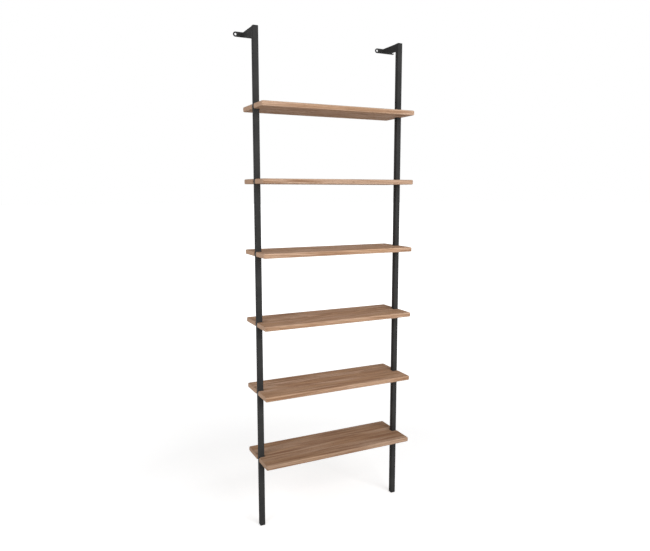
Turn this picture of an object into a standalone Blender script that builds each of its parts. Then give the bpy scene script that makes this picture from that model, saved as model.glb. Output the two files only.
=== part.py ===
"""Wall bookcase: six wooden shelves let in between two square steel posts.

Each post stands on the floor in a notch cut into the middle of every shelf end, and a screw through the
post holds each shelf end. At its top a post carries a welded arm that reaches back to a flat steel strip,
which is screwed to the wall. Units are metres, +Z is up and +Y points at the wall. The origin is on the
floor, in the middle of the bookcase's outline seen from above.
"""
import math

import bmesh
import bpy
from mathutils import Matrix

# Shelves
SHELF_COUNT = 6
SHELF_PITCH = 0.262
LOWEST_SHELF_TOP = 0.2805
BOARD_LENGTH = 0.620
BOARD_DEPTH = 0.204
BOARD_THICKNESS = 0.018
BOARD_CORNER_RADIUS = 0.006
BOARD_EDGE_RADIUS = 0.0045

# Posts of square tube
TUBE_WIDTH = 0.020
TUBE_WALL = 0.0015
TUBE_INNER_CORNER = 0.0007
POST_INSET = 0.0035
POST_FROM_FRONT = 0.0985
POST_ABOVE_TOP_SHELF = 0.2645

# Plastic plugs in the ends of the posts
FOOT_HEIGHT = 0.006
FOOT_ROUNDING = 0.0018
CAP_HEIGHT = 0.002
CAP_ROUNDING = 0.001
PLUG_DEPTH = 0.016

# Screws that hold the shelf ends, and the threaded inserts that take them
SCREW_DIAMETER = 0.006
SCREW_HEAD_DIAMETER = 0.012
SCREW_HEAD_HEIGHT = 0.0016
SCREW_HEAD_CHAMFER = 0.0008
SCREW_GRIP = 0.011
SCREW_POINT = 0.0008
SOCKET_ACROSS_FLATS = 0.004
SOCKET_DEPTH = 0.0012
INSERT_WALL = 0.00145
INSERT_CHAMFER = 0.0005
INSERT_LENGTH = 0.013
INSERT_RECESS = 0.001

# Wall brackets of flat steel
WALL_GAP = 0.002
PLATE_THICKNESS = 0.003
STRIP_LENGTH = 0.090
STRIP_HEIGHT = 0.018
WALL_HOLE_DIAMETER = 0.0085
ARM_HEIGHT = 0.029
ARM_LEVEL_LENGTH = 0.028
WELD_LEG = 0.0025

# Gap that pieces keep where they touch, and how far a cutter reaches past what it cuts
CLEARANCE = 0.0003
OVERCUT = 0.010

# Facets in a quarter turn of a board's corner or eased edge, in a quarter turn of a small edge, and in a
# full turn
CORNER_SEGMENTS = 4
EDGE_SEGMENTS = 2
ROUND_STEPS = 16
SOCKET_SIDES = 6

# Edges sharper than this are hard edges, and points closer than this are one point
SHARP_ANGLE = math.radians(40)
MERGE_DISTANCE = 0.000001

# Sizes and places that follow from the ones above
TUBE_CORNER = TUBE_WALL + TUBE_INNER_CORNER
INSERT_BORE = SCREW_DIAMETER + 2 * CLEARANCE
INSERT_DIAMETER = INSERT_BORE + 2 * INSERT_WALL
POST_TOP = LOWEST_SHELF_TOP + (SHELF_COUNT - 1) * SHELF_PITCH + POST_ABOVE_TOP_SHELF
TUBE_BOTTOM = FOOT_HEIGHT + CLEARANCE
TUBE_TOP = POST_TOP - CAP_HEIGHT - CLEARANCE
FRONT_Y = -(BOARD_DEPTH + WALL_GAP) / 2
WALL_Y = (BOARD_DEPTH + WALL_GAP) / 2
BOARD_Y = FRONT_Y + BOARD_DEPTH / 2
POST_X = BOARD_LENGTH / 2 - POST_INSET - TUBE_WIDTH / 2
POST_Y = FRONT_Y + POST_FROM_FRONT
NOTCH_FLOOR_X = POST_X - TUBE_WIDTH / 2 - CLEARANCE
SIDES = {"left": -1, "right": 1}
LEVELS = range(1, SHELF_COUNT + 1)


def shelf_height(level):
    """Height of the middle of a board; level 1 is the lowest shelf."""
    return LOWEST_SHELF_TOP + (level - 1) * SHELF_PITCH - BOARD_THICKNESS / 2


def remove_everything():
    """Empties the scene."""
    for item in list(bpy.data.objects):
        bpy.data.objects.remove(item, do_unlink=True)


def add_collection(name):
    """A new collection in the scene."""
    collection = bpy.data.collections.new(name)
    bpy.context.scene.collection.children.link(collection)
    return collection


def add_material(name, colour, roughness, metallic):
    """A plain finish of one colour."""
    material = bpy.data.materials.new(name)
    material.use_nodes = True
    shader = material.node_tree.nodes["Principled BSDF"]
    shader.inputs["Base Color"].default_value = (*colour, 1.0)
    shader.inputs["Roughness"].default_value = roughness
    shader.inputs["Metallic"].default_value = metallic
    material.diffuse_color = (*colour, 1.0)
    return material


def add_part(name, mesh, material, location=(0, 0, 0), rotation=(0, 0, 0)):
    """One sub-part of the bookcase, as an object of its own."""
    if not mesh.materials:
        mesh.materials.append(material)
    part = bpy.data.objects.new(name, mesh)
    part.location = location
    part.rotation_euler = rotation
    part.parent = bookcase
    parts.objects.link(part)
    return part


def add_cutter(name, mesh, location=(0, 0, 0), rotation=(0, 0, 0)):
    """A hidden solid that only shapes other parts."""
    cutter = bpy.data.objects.new(name, mesh)
    cutter.location = location
    cutter.rotation_euler = rotation
    cutter.hide_render = True
    cutter.display_type = 'WIRE'
    cutters.objects.link(cutter)
    return cutter


def add_boolean(part, operation, cutter):
    """Cuts, joins or crops a part with another solid."""
    modifier = part.modifiers.new(cutter.name, 'BOOLEAN')
    modifier.operation = operation
    modifier.solver = 'EXACT'
    modifier.object = cutter


def add_bevel(part, width):
    """Rounds every edge that is sharper than the facets of a rounded corner."""
    modifier = part.modifiers.new("eased edges", 'BEVEL')
    modifier.width = width
    modifier.segments = CORNER_SEGMENTS
    modifier.limit_method = 'ANGLE'
    modifier.angle_limit = SHARP_ANGLE


def mesh_from(bm, name):
    """Turns a bmesh into mesh data with smooth round faces and hard edges."""
    mesh = bpy.data.meshes.new(name)
    bm.to_mesh(mesh)
    bm.free()
    mesh.shade_smooth()
    mesh.set_sharp_from_angle(angle=SHARP_ANGLE)
    return mesh


def evaluated_mesh(thing, name):
    """The mesh that an object shows, with its modifiers applied and its doubled points merged."""
    bpy.context.view_layer.update()
    depsgraph = bpy.context.evaluated_depsgraph_get()
    shown = bpy.data.meshes.new_from_object(thing.evaluated_get(depsgraph))
    bm = bmesh.new()
    bm.from_mesh(shown)
    bpy.data.meshes.remove(shown)
    bmesh.ops.remove_doubles(bm, verts=bm.verts, dist=MERGE_DISTANCE)
    return mesh_from(bm, name)


def rounded_block(size, corner, segments, centre=(0, 0, 0)):
    """A bmesh block whose four upright edges are rounded."""
    bm = bmesh.new()
    bmesh.ops.create_cube(bm, size=1.0)
    bmesh.ops.scale(bm, vec=size, verts=bm.verts)
    upright = [edge for edge in bm.edges if edge.verts[0].co.xy == edge.verts[1].co.xy]
    bmesh.ops.bevel(bm, geom=upright, offset=corner, segments=segments, profile=0.5, affect='EDGES')
    bmesh.ops.translate(bm, vec=centre, verts=bm.verts)
    return bm


def add_block(bm, size, centre):
    """Adds a plain block to a bmesh."""
    block = bmesh.ops.create_cube(bm, size=1.0)["verts"]
    bmesh.ops.scale(bm, vec=size, verts=block)
    bmesh.ops.translate(bm, vec=centre, verts=block)


def add_rod(bm, diameter, start_x, end_x, y, z):
    """Adds a closed rod that runs along X to a bmesh."""
    radius = diameter / 2
    length = abs(end_x - start_x)
    rod = bmesh.ops.create_cone(bm, cap_ends=True, segments=ROUND_STEPS, radius1=radius, radius2=radius,
                                depth=length)["verts"]
    bmesh.ops.rotate(bm, verts=rod, cent=(0, 0, 0), matrix=Matrix.Rotation(math.pi / 2, 3, 'Y'))
    bmesh.ops.translate(bm, verts=rod, vec=((start_x + end_x) / 2, y, z))


def arc(centre, radius, start, end):
    """Points on an arc about (x, y), from one angle in degrees to another."""
    steps = max(2, round(ROUND_STEPS * abs(end - start) / 360))
    angles = [math.radians(start + (end - start) * step / steps) for step in range(steps + 1)]
    return [(centre[0] + radius * math.cos(angle), centre[1] + radius * math.sin(angle)) for angle in angles]


def plate_mesh(name, outlines, thickness):
    """A flat plate from closed outlines of (x, y) points; the outlines inside the first are holes."""
    curve = bpy.data.curves.new(name, 'CURVE')
    curve.dimensions = '2D'
    curve.fill_mode = 'BOTH'
    curve.extrude = thickness / 2
    for outline in outlines:
        spline = curve.splines.new('POLY')
        spline.points.add(len(outline) - 1)
        for point, (x, y) in zip(spline.points, outline):
            point.co = (x, y, 0, 1)
        spline.use_cyclic_u = True
    flat = bpy.data.objects.new(name, curve)
    cutters.objects.link(flat)
    mesh = evaluated_mesh(flat, name)
    bpy.data.objects.remove(flat)
    return mesh


def turned_object(name, profile, closed):
    """A round piece about Z from (radius, height) points that run down its outer side."""
    bm = bmesh.new()
    points = [bm.verts.new((radius, 0, height)) for radius, height in profile]
    for start, end in zip(points, points[1:]):
        bm.edges.new((start, end))
    if closed:
        bm.edges.new((points[-1], points[0]))
    turned = add_cutter(name, mesh_from(bm, name))
    modifier = turned.modifiers.new("turned", 'SCREW')
    modifier.steps = ROUND_STEPS
    modifier.render_steps = ROUND_STEPS
    modifier.use_merge_vertices = True
    modifier.merge_threshold = MERGE_DISTANCE
    return turned


def build_shelves():
    """Boards with eased edges, notched for the posts and bored for the threaded inserts."""
    board_size = (BOARD_LENGTH, BOARD_DEPTH, BOARD_THICKNESS)
    board = mesh_from(rounded_block(board_size, BOARD_CORNER_RADIUS, CORNER_SEGMENTS), "board")
    easing = min(BOARD_EDGE_RADIUS, BOARD_CORNER_RADIUS - CLEARANCE, BOARD_THICKNESS / 2 - CLEARANCE)
    channel_width = TUBE_WIDTH + 2 * CLEARANCE
    channel_depth = BOARD_LENGTH / 2 - NOTCH_FLOOR_X + OVERCUT
    bore_diameter = INSERT_DIAMETER + 2 * CLEARANCE
    bore_depth = INSERT_RECESS + max(INSERT_LENGTH, SCREW_GRIP) + CLEARANCE
    bore_mouth = NOTCH_FLOOR_X + CLEARANCE
    bore_floor = NOTCH_FLOOR_X - bore_depth
    channels = bmesh.new()
    bores = bmesh.new()
    for side in SIDES.values():
        channel_x = side * (NOTCH_FLOOR_X + channel_depth / 2)
        add_block(channels, (channel_depth, channel_width, POST_TOP), (channel_x, POST_Y, POST_TOP / 2))
        for level in LEVELS:
            height = shelf_height(level)
            add_rod(bores, bore_diameter, side * bore_mouth, side * bore_floor, POST_Y, height)
    post_channels = add_cutter("post_channels", mesh_from(channels, "post_channels"))
    insert_bores = add_cutter("insert_bores", mesh_from(bores, "insert_bores"))
    for level in LEVELS:
        shelf = add_part(f"shelf_{level}", board, wood, location=(0, BOARD_Y, shelf_height(level)))
        add_bevel(shelf, easing)
        add_boolean(shelf, 'DIFFERENCE', post_channels)
        add_boolean(shelf, 'DIFFERENCE', insert_bores)


def build_posts():
    """Square tubes, open at both ends and drilled through for the shelf screws."""
    length = TUBE_TOP - TUBE_BOTTOM
    bm = rounded_block((TUBE_WIDTH, TUBE_WIDTH, length), TUBE_CORNER, EDGE_SEGMENTS)
    ends = [face for face in bm.faces if abs(face.normal.z) > 0.5]
    bmesh.ops.delete(bm, geom=ends, context='FACES_ONLY')
    tube = mesh_from(bm, "tube")
    holes = bmesh.new()
    hole_diameter = SCREW_DIAMETER + 2 * CLEARANCE
    reach = TUBE_WIDTH / 2 + OVERCUT
    for side in SIDES.values():
        for level in LEVELS:
            middle = side * POST_X
            add_rod(holes, hole_diameter, middle - reach, middle + reach, POST_Y, shelf_height(level))
    screw_holes = add_cutter("screw_holes", mesh_from(holes, "screw_holes"))
    for name, side in SIDES.items():
        place = (side * POST_X, POST_Y, (TUBE_TOP + TUBE_BOTTOM) / 2)
        post = add_part(f"{name}_post", tube, coated_steel, location=place)
        shell = post.modifiers.new("tube wall", 'SOLIDIFY')
        shell.thickness = TUBE_WALL
        shell.offset = -1
        shell.use_even_offset = True
        add_boolean(post, 'DIFFERENCE', screw_holes)


def plug_mesh(name, head_height, rounding):
    """A plastic plug: a head as wide as the tube at and below Z = 0, and a stem up into the tube."""
    head_size = (TUBE_WIDTH, TUBE_WIDTH, head_height)
    head = rounded_block(head_size, TUBE_CORNER, EDGE_SEGMENTS, centre=(0, 0, -head_height / 2))
    rim = [edge for edge in head.edges if all(vert.co.z < -head_height / 2 for vert in edge.verts)]
    softened = min(rounding, TUBE_CORNER - CLEARANCE, head_height - CLEARANCE)
    bmesh.ops.bevel(head, geom=rim, offset=softened, segments=EDGE_SEGMENTS, profile=0.5, affect='EDGES')
    stem_width = TUBE_WIDTH - 2 * TUBE_WALL - 2 * CLEARANCE
    root = head_height / 2
    stem_size = (stem_width, stem_width, PLUG_DEPTH + root)
    stem_centre = (0, 0, (PLUG_DEPTH - root) / 2)
    stem = rounded_block(stem_size, TUBE_INNER_CORNER, EDGE_SEGMENTS, centre=stem_centre)
    plug = add_cutter(name, mesh_from(head, name))
    stem_solid = add_cutter(f"{name}_stem", mesh_from(stem, f"{name}_stem"))
    add_boolean(plug, 'UNION', stem_solid)
    mesh = evaluated_mesh(plug, name)
    bpy.data.objects.remove(plug)
    bpy.data.objects.remove(stem_solid)
    return mesh


def build_plugs():
    """Feet below the posts and caps on top of them; a cap is a plug turned over."""
    foot = plug_mesh("foot", FOOT_HEIGHT, FOOT_ROUNDING)
    cap = plug_mesh("cap", CAP_HEIGHT, CAP_ROUNDING)
    for name, side in SIDES.items():
        add_part(f"{name}_foot", foot, plastic, location=(side * POST_X, POST_Y, FOOT_HEIGHT))
        cap_place = (side * POST_X, POST_Y, POST_TOP - CAP_HEIGHT)
        add_part(f"{name}_post_cap", cap, plastic, location=cap_place, rotation=(math.pi, 0, 0))


def screw_mesh():
    """A flat-headed screw with a hexagon socket; the underside of its head is at Z = 0."""
    head = SCREW_HEAD_DIAMETER / 2
    shank = SCREW_DIAMETER / 2
    length = CLEARANCE + TUBE_WIDTH + CLEARANCE + INSERT_RECESS + SCREW_GRIP
    chamfer = min(SCREW_HEAD_CHAMFER, SCREW_HEAD_HEIGHT - CLEARANCE)
    head_profile = [(0, SCREW_HEAD_HEIGHT), (head - chamfer, SCREW_HEAD_HEIGHT),
                    (head, SCREW_HEAD_HEIGHT - chamfer), (head, 0)]
    shank_profile = [(shank, 0), (shank, SCREW_POINT - length), (shank - SCREW_POINT, -length), (0, -length)]
    screw = turned_object("screw", head_profile + shank_profile, closed=False)
    socket_radius = SOCKET_ACROSS_FLATS / math.sqrt(3)
    bm = bmesh.new()
    bmesh.ops.create_cone(bm, cap_ends=True, segments=SOCKET_SIDES, radius1=socket_radius,
                          radius2=socket_radius, depth=2 * SOCKET_DEPTH)
    socket = add_cutter("socket", mesh_from(bm, "socket"), location=(0, 0, SCREW_HEAD_HEIGHT))
    add_boolean(screw, 'DIFFERENCE', socket)
    mesh = evaluated_mesh(screw, "shelf_screw")
    bpy.data.objects.remove(screw)
    bpy.data.objects.remove(socket)
    return mesh


def insert_mesh():
    """A threaded insert, as a sleeve that starts at Z = 0 and runs down."""
    outer = INSERT_DIAMETER / 2
    bore = INSERT_BORE / 2
    chamfer = min(INSERT_CHAMFER, INSERT_WALL / 2)
    outer_profile = [(outer - chamfer, 0), (outer, -chamfer), (outer, -INSERT_LENGTH)]
    bore_profile = [(bore, -INSERT_LENGTH), (bore, 0)]
    sleeve = turned_object("insert", outer_profile + bore_profile, closed=True)
    mesh = evaluated_mesh(sleeve, "threaded_insert")
    bpy.data.objects.remove(sleeve)
    return mesh


def build_fixings():
    """A screw through each post into a threaded insert at every shelf end."""
    screw = screw_mesh()
    insert = insert_mesh()
    for name, side in SIDES.items():
        head_x = side * (POST_X + TUBE_WIDTH / 2 + CLEARANCE)
        insert_x = side * (NOTCH_FLOOR_X - INSERT_RECESS)
        turn = (0, side * math.pi / 2, 0)
        for level in LEVELS:
            height = shelf_height(level)
            add_part(f"shelf_{level}_{name}_screw", screw, dark_steel, (head_x, POST_Y, height), turn)
            add_part(f"shelf_{level}_{name}_insert", insert, zinc_steel, (insert_x, POST_Y, height), turn)


def strip_outline():
    """A round-ended strip about the origin with an open slot in its right end, and the hole in its left."""
    end = STRIP_LENGTH / 2
    radius = STRIP_HEIGHT / 2
    slot = WALL_HOLE_DIAMETER / 2
    hole_centre = (radius - end, 0)
    slot_centre = (end - math.sqrt(radius ** 2 - slot ** 2), 0)
    lip = math.degrees(math.asin(slot / radius))
    edge = arc(hole_centre, radius, 90, 270)
    edge += arc(slot_centre, radius, -90, -lip)
    edge += arc(slot_centre, slot, 270, 90)
    edge += arc(slot_centre, radius, lip, 90)
    hole = arc(hole_centre, slot, 0, 360)[:-1]
    return [edge, hole]


def arm_plan(length):
    """An arm seen from above, with its front end at y = 0 and a weld fillet at each place it is joined."""
    half = PLATE_THICKNESS / 2
    flare = half + WELD_LEG
    front = [(-half, 0), (flare, 0), (half, WELD_LEG)]
    back = [(half, length - WELD_LEG), (flare, length), (-flare, length), (-half, length - WELD_LEG)]
    return front + back


def arm_side(length):
    """An arm seen from its side, top edge at y = 0: level behind the post, then rising to the strip."""
    front = [(-OVERCUT, 0), (-OVERCUT, -ARM_HEIGHT), (ARM_LEVEL_LENGTH, -ARM_HEIGHT)]
    back = [(length, -STRIP_HEIGHT), (length + OVERCUT, -STRIP_HEIGHT), (length + OVERCUT, 0)]
    return front + back


def build_brackets():
    """At the top of each post, an arm from the post's back to a strip that lies on the wall."""
    upright = math.pi / 2
    strip = plate_mesh("wall_strip", strip_outline(), PLATE_THICKNESS)
    arm_start = POST_Y + TUBE_WIDTH / 2 + CLEARANCE
    arm_end = WALL_Y - PLATE_THICKNESS - CLEARANCE
    arm_length = arm_end - arm_start
    arm = plate_mesh("bracket_arm", [arm_plan(arm_length)], 2 * (ARM_HEIGHT + OVERCUT))
    crop = plate_mesh("arm_side", [arm_side(arm_length)], 2 * (PLATE_THICKNESS + WELD_LEG + OVERCUT))
    for name, side in SIDES.items():
        strip_place = (side * POST_X, WALL_Y - PLATE_THICKNESS / 2, POST_TOP - STRIP_HEIGHT / 2)
        add_part(f"{name}_wall_strip", strip, coated_steel, strip_place, (upright, 0, 0))
        arm_x = side * POST_X - TUBE_WIDTH / 2 + TUBE_CORNER + PLATE_THICKNESS / 2
        arm_place = (arm_x, arm_start, POST_TOP)
        side_crop = add_cutter(f"{name}_arm_side", crop, arm_place, (upright, 0, upright))
        bracket_arm = add_part(f"{name}_bracket_arm", arm, coated_steel, arm_place)
        add_boolean(bracket_arm, 'INTERSECT', side_crop)


remove_everything()
parts = add_collection("wall_bookcase")
cutters = add_collection("cutters")
bookcase = bpy.data.objects.new("wall_bookcase", None)
parts.objects.link(bookcase)

wood = add_material("oiled_wood", (0.46, 0.29, 0.18), 0.55, 0.0)
coated_steel = add_material("black_coated_steel", (0.025, 0.025, 0.026), 0.5, 0.0)
plastic = add_material("black_plastic", (0.018, 0.018, 0.018), 0.45, 0.0)
dark_steel = add_material("black_screw_steel", (0.03, 0.03, 0.032), 0.35, 0.9)
zinc_steel = add_material("zinc_plated_steel", (0.62, 0.62, 0.6), 0.3, 1.0)

build_shelves()
build_posts()
build_plugs()
build_fixings()
build_brackets()
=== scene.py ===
# %% [markdown]
# # Dressing a wall bookcase
# The real bookcase is six oiled boards, notched round two black square posts. The posts stand on the floor,
# and a welded bracket at the top of each post is screwed to the wall. Its solids are packed at their real
# size, so this lesson only dresses them: every solid gets a finer surface in the same place, and every
# surface gets a finish. Modelling it all again by eye would work too, but then nothing would promise that the
# looks and the solids agree.

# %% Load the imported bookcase
import math

import bmesh
import bpy
import numpy as np
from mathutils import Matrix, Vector


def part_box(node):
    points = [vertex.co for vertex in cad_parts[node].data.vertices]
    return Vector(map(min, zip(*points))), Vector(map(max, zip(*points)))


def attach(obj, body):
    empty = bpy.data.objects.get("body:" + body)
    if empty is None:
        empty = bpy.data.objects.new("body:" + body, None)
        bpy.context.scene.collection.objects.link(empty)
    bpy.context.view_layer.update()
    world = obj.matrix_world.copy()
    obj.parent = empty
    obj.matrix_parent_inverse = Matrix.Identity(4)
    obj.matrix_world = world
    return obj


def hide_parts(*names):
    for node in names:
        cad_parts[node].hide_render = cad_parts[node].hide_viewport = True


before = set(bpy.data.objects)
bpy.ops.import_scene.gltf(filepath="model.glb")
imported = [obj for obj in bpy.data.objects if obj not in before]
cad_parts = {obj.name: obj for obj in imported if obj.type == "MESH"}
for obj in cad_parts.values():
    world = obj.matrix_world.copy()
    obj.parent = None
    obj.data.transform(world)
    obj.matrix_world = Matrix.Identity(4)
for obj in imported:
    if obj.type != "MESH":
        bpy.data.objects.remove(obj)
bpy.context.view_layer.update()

# %% [markdown]
# ## The viewpoint
# A picture of furniture is judged by its lines, so the camera comes first. It could be placed by eye, but the
# posts and shelves are straight and square, and their edges fix a camera exactly: this one was worked out
# from where those edges lie in the frame. The focal length is written in pixels of that frame, because that
# is how it was measured, and turned into a lens for Blender's sensor.

# %% Place the camera
CAMERA_PLACE = (-1.0394, -2.0883, 1.2822)
CAMERA_HEADING = math.radians(25.97)
CAMERA_DIP = math.radians(7.88)
FOCAL_PIXELS = 604.18
FRAME_WIDTH_PIXELS = 650
SENSOR_WIDTH = 36.0

camera_data = bpy.data.cameras.new("viewpoint")
camera_data.sensor_width = SENSOR_WIDTH
camera_data.lens = FOCAL_PIXELS / FRAME_WIDTH_PIXELS * SENSOR_WIDTH
camera = bpy.data.objects.new("viewpoint", camera_data)
camera.location = CAMERA_PLACE
camera.rotation_euler = (math.pi / 2 - CAMERA_DIP, 0, -CAMERA_HEADING)
bpy.context.scene.collection.objects.link(camera)
bpy.context.scene.camera = camera
print("lens:", round(camera_data.lens, 2), "mm")

# %% [markdown]
# ## Sizes
# What the solids already say is read from them: where a post stands, how thick a board is. Typing those
# numbers again would work until one of them changed. Only what a box can't tell, such as a corner's radius,
# is written down, where it is first needed. The clearance is the gap that pieces keep where they meet.

# %% Read the sizes from the frame
SIDES = {"left": -1, "right": 1}
LEVELS = [level for level in range(1, len(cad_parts)) if f"shelf_{level}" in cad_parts]
CLEARANCE = 0.0003

box = {name: [np.array(corner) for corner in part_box(name)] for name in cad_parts}
board_size = box["shelf_1"][1] - box["shelf_1"][0]
tube_size = box["left_post"][1] - box["left_post"][0]
print("shelves:", len(LEVELS), "board:", np.round(board_size, 4), "post:", np.round(tube_size, 4))

# %% [markdown]
# ## Skins over rings
# Boards, tubes, plugs, screws and flat bars are all one kind of shape: an outline that grows or shrinks a
# little along the way. So a piece is an array of rings of points, and one function joins neighbouring rings
# with quads. Sculpting or extruding by hand would give the same faces, but with an array a size can change
# later and the faces follow. The simplest skin is a rod of two rings, which serves as a drill later on.

# %% Join rings of points into a mesh
def skin(name, rings, closed=False):
    """Quads between neighbouring points of an array of rings (ring, point, xyz).

    Point c of ring r is number r * points + c; a quad joins it to the next point round the ring and to the
    same two points one ring on. A closed skin joins its last ring to its first, and an open one gets a flat
    face over its first and its last ring. Rings turn anticlockwise and rise, so the faces point outwards.
    """
    count, points = rings.shape[:2]
    ring, point = np.meshgrid(np.arange(count if closed else count - 1), np.arange(points), indexing="ij")
    next_ring = (ring + 1) % count
    next_point = (point + 1) % points
    corners = [(ring, point), (ring, next_point), (next_ring, next_point), (next_ring, point)]
    quads = np.stack([r * points + c for r, c in corners], axis=-1).reshape(-1, 4)
    faces = quads.tolist()
    if not closed:
        faces.append(np.arange(points)[::-1].tolist())
        faces.append(np.arange((count - 1) * points, count * points).tolist())
    mesh = bpy.data.meshes.new(name)
    mesh.from_pydata(rings.reshape(-1, 3).tolist(), [], faces)
    return mesh


def rod(name, axis, start, end, radius, steps):
    """A closed rod along axis 0, 1 or 2: two rings of (0, r cos a, r sin a), rolled round to that axis."""
    angle = np.linspace(0, 2 * math.pi, steps, endpoint=False)
    ring = np.stack([np.zeros(steps), radius * np.cos(angle), radius * np.sin(angle)], axis=1)
    ring = np.roll(ring, axis, axis=1)
    first, last = sorted((start, end), key=lambda point: point[axis])
    return skin(name, np.stack([ring + first, ring + last]))


sample = rod("sample", 2, np.zeros(3), np.array((0, 0, 1)), 1, 6)
print("a rod of six sides has", len(sample.polygons), "faces")
bpy.data.meshes.remove(sample)

# %% [markdown]
# ## Outlines and rounded edges
# An outline is a closed line of points, built from arcs. To round an edge, the outline moves in as it nears a
# face: each side moves by the same distance, and each corner goes to where its two moved sides meet. Scaling
# the outline would be simpler, but it moves far sides more than near ones. A Bevel modifier would do it too,
# but here the rounding is exact, and a narrow extra ring at a flat face's rim keeps its shading flat.

# %% Draw outlines and carry profiles round them
FLAT_RIM = 0.0003


def quarter_round(radius, steps):
    """A rounded edge as insets and drops: at angle a, inset = r (1 - cos a) and drop = r (1 - sin a)."""
    angle = np.linspace(0, math.pi / 2, steps + 1)
    return radius * (1 - np.cos(angle)), radius * (1 - np.sin(angle))


def eased_profile(radius, steps, bottom, top):
    """Insets and heights up a plate's side: a rim, a quarter round, a quarter round and a rim."""
    inset, drop = quarter_round(radius, steps)
    rim = radius + FLAT_RIM
    lower = [(rim, bottom)] + list(zip(inset[::-1], bottom + drop[::-1]))
    upper = list(zip(inset, top - drop)) + [(rim, top)]
    return lower + upper


def arc(centre, radius, start, end, steps):
    """Points on an arc, from one angle in degrees to another: centre + radius (cos, sin)."""
    angle = np.radians(np.linspace(start, end, steps + 1))
    return np.stack([centre[0] + radius * np.cos(angle), centre[1] + radius * np.sin(angle)], axis=1)


def rounded_rectangle(low, high, corner, steps):
    """Four quarter arcs about the centres of the corners, anticlockwise from the right end of the front."""
    right, left = high[0] - corner, low[0] + corner
    back, front = high[1] - corner, low[1] + corner
    centres = [(right, front), (right, back), (left, back), (left, front)]
    starts = [-90, 0, 90, 180]
    return np.concatenate([arc(c, corner, start, start + 90, steps) for c, start in zip(centres, starts)])


def inset_outline(outline, distance):
    """Moves the sides of an anticlockwise outline in: a corner moves by d (m + n) / (1 + m . n), where m and
    n are the inward directions of its two sides."""
    after = np.roll(outline, -1, axis=0) - outline
    after /= np.linalg.norm(after, axis=1, keepdims=True)
    leaving = np.stack([-after[:, 1], after[:, 0]], axis=1)
    arriving = np.roll(leaving, 1, axis=0)
    share = 1 + np.sum(leaving * arriving, axis=1, keepdims=True)
    return outline + distance * (leaving + arriving) / share


def carried_rings(outline, profile):
    """Rings of a profile of (inset, height) points carried round an outline: one inset outline for each."""
    rings = [np.column_stack([inset_outline(outline, i), np.full(len(outline), z)]) for i, z in profile]
    return np.array(rings)


print("a rounded edge of 1 mm:", np.round(np.transpose(quarter_round(0.001, 3)), 5).tolist())

# %% [markdown]
# ## Cutting and showing
# Holes come last, as on the bench: a Boolean takes a rod out of the finished piece. Its result is kept as
# the piece's own mesh, so that no cutter is left behind. The manifold solver suits it, because every piece
# here is closed, and it leaves no gaps along long thin faces. `show` then puts a mesh in the scene: the piece
# rides on the bookcase and stands for the solid that it replaces.

# %% Cut and show pieces
SHARP_ANGLE = math.radians(35)
CM3_PER_M3 = 1e6

looks = bpy.data.collections.new("looks")
bpy.context.scene.collection.children.link(looks)


def cut(mesh, cutter):
    """What is left of one solid after a Boolean has taken another out of it."""
    body = bpy.data.objects.new("body", mesh)
    tool = bpy.data.objects.new("tool", cutter)
    looks.objects.link(body)
    looks.objects.link(tool)
    difference = body.modifiers.new("cut", 'BOOLEAN')
    difference.operation = 'DIFFERENCE'
    difference.solver = 'MANIFOLD'
    difference.object = tool
    bpy.context.view_layer.update()
    result = bpy.data.meshes.new_from_object(body.evaluated_get(bpy.context.evaluated_depsgraph_get()))
    result.name = mesh.name
    bpy.data.objects.remove(body)
    bpy.data.objects.remove(tool)
    return result


def measure(mesh):
    """A mesh's volume in cubic centimetres, and how many of its edges don't join exactly two faces."""
    solid = bmesh.new()
    solid.from_mesh(mesh)
    volume = solid.calc_volume(signed=True) * CM3_PER_M3
    loose = sum(not edge.is_manifold for edge in solid.edges)
    solid.free()
    return volume, loose


def show(name, mesh, finish, slot, *nodes):
    """Puts a finished mesh in the scene as a piece, and measures it."""
    mesh.materials.clear()
    mesh.materials.append(finish)
    mesh.shade_smooth()
    mesh.set_sharp_from_angle(angle=SHARP_ANGLE)
    piece = bpy.data.objects.new(name, mesh)
    looks.objects.link(piece)
    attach(piece, "root")
    if nodes:
        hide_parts(*nodes)
    volume, loose = measure(mesh)
    print(f"{name}: {len(mesh.polygons)} faces, {volume:.2f} cm3, {loose} open edges")


print("pieces go into the collection", looks.name)

# %% [markdown]
# ## Finishes
# A finish is a small tree of shader nodes. Each one starts from the place on the piece, in metres, so a grain
# has its real size on every piece and stays where it is from any side. A picture of the surface would need
# unwrapping and has one fixed sharpness. These helpers only shorten the writing: a value that is a socket is
# linked, and any other value is set.

# %% Build shader nodes
NOISE_LOW = 0.3
NOISE_HIGH = 0.7


def new_finish(name):
    """An empty finish: the material, its node tree and its shader."""
    material = bpy.data.materials.new(name)
    material.use_nodes = True
    tree = material.node_tree
    return material, tree, tree.nodes["Principled BSDF"]


def add_node(tree, kind, inputs, **settings):
    """One shader node, with its settings made and its inputs linked or set."""
    node = tree.nodes.new(kind)
    for name, value in settings.items():
        setattr(node, name, value)
    for name, value in inputs.items():
        if isinstance(value, bpy.types.NodeSocket):
            tree.links.new(value, node.inputs[name])
        else:
            node.inputs[name].default_value = value
    return node


def place_on_piece(tree):
    """The place of a surface point on its piece, in metres."""
    return add_node(tree, "ShaderNodeTexCoord", {}).outputs["Object"]


def calculate(tree, operation, first, second=0.0):
    """One sum on numbers."""
    return add_node(tree, "ShaderNodeMath", {0: first, 1: second}, operation=operation).outputs[0]


def calculate_vector(tree, operation, first, second=(0, 0, 0)):
    """One sum on vectors; a length comes out of its own socket."""
    node = add_node(tree, "ShaderNodeVectorMath", {0: first, 1: second}, operation=operation)
    return node.outputs["Value" if operation == 'LENGTH' else "Vector"]


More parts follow.
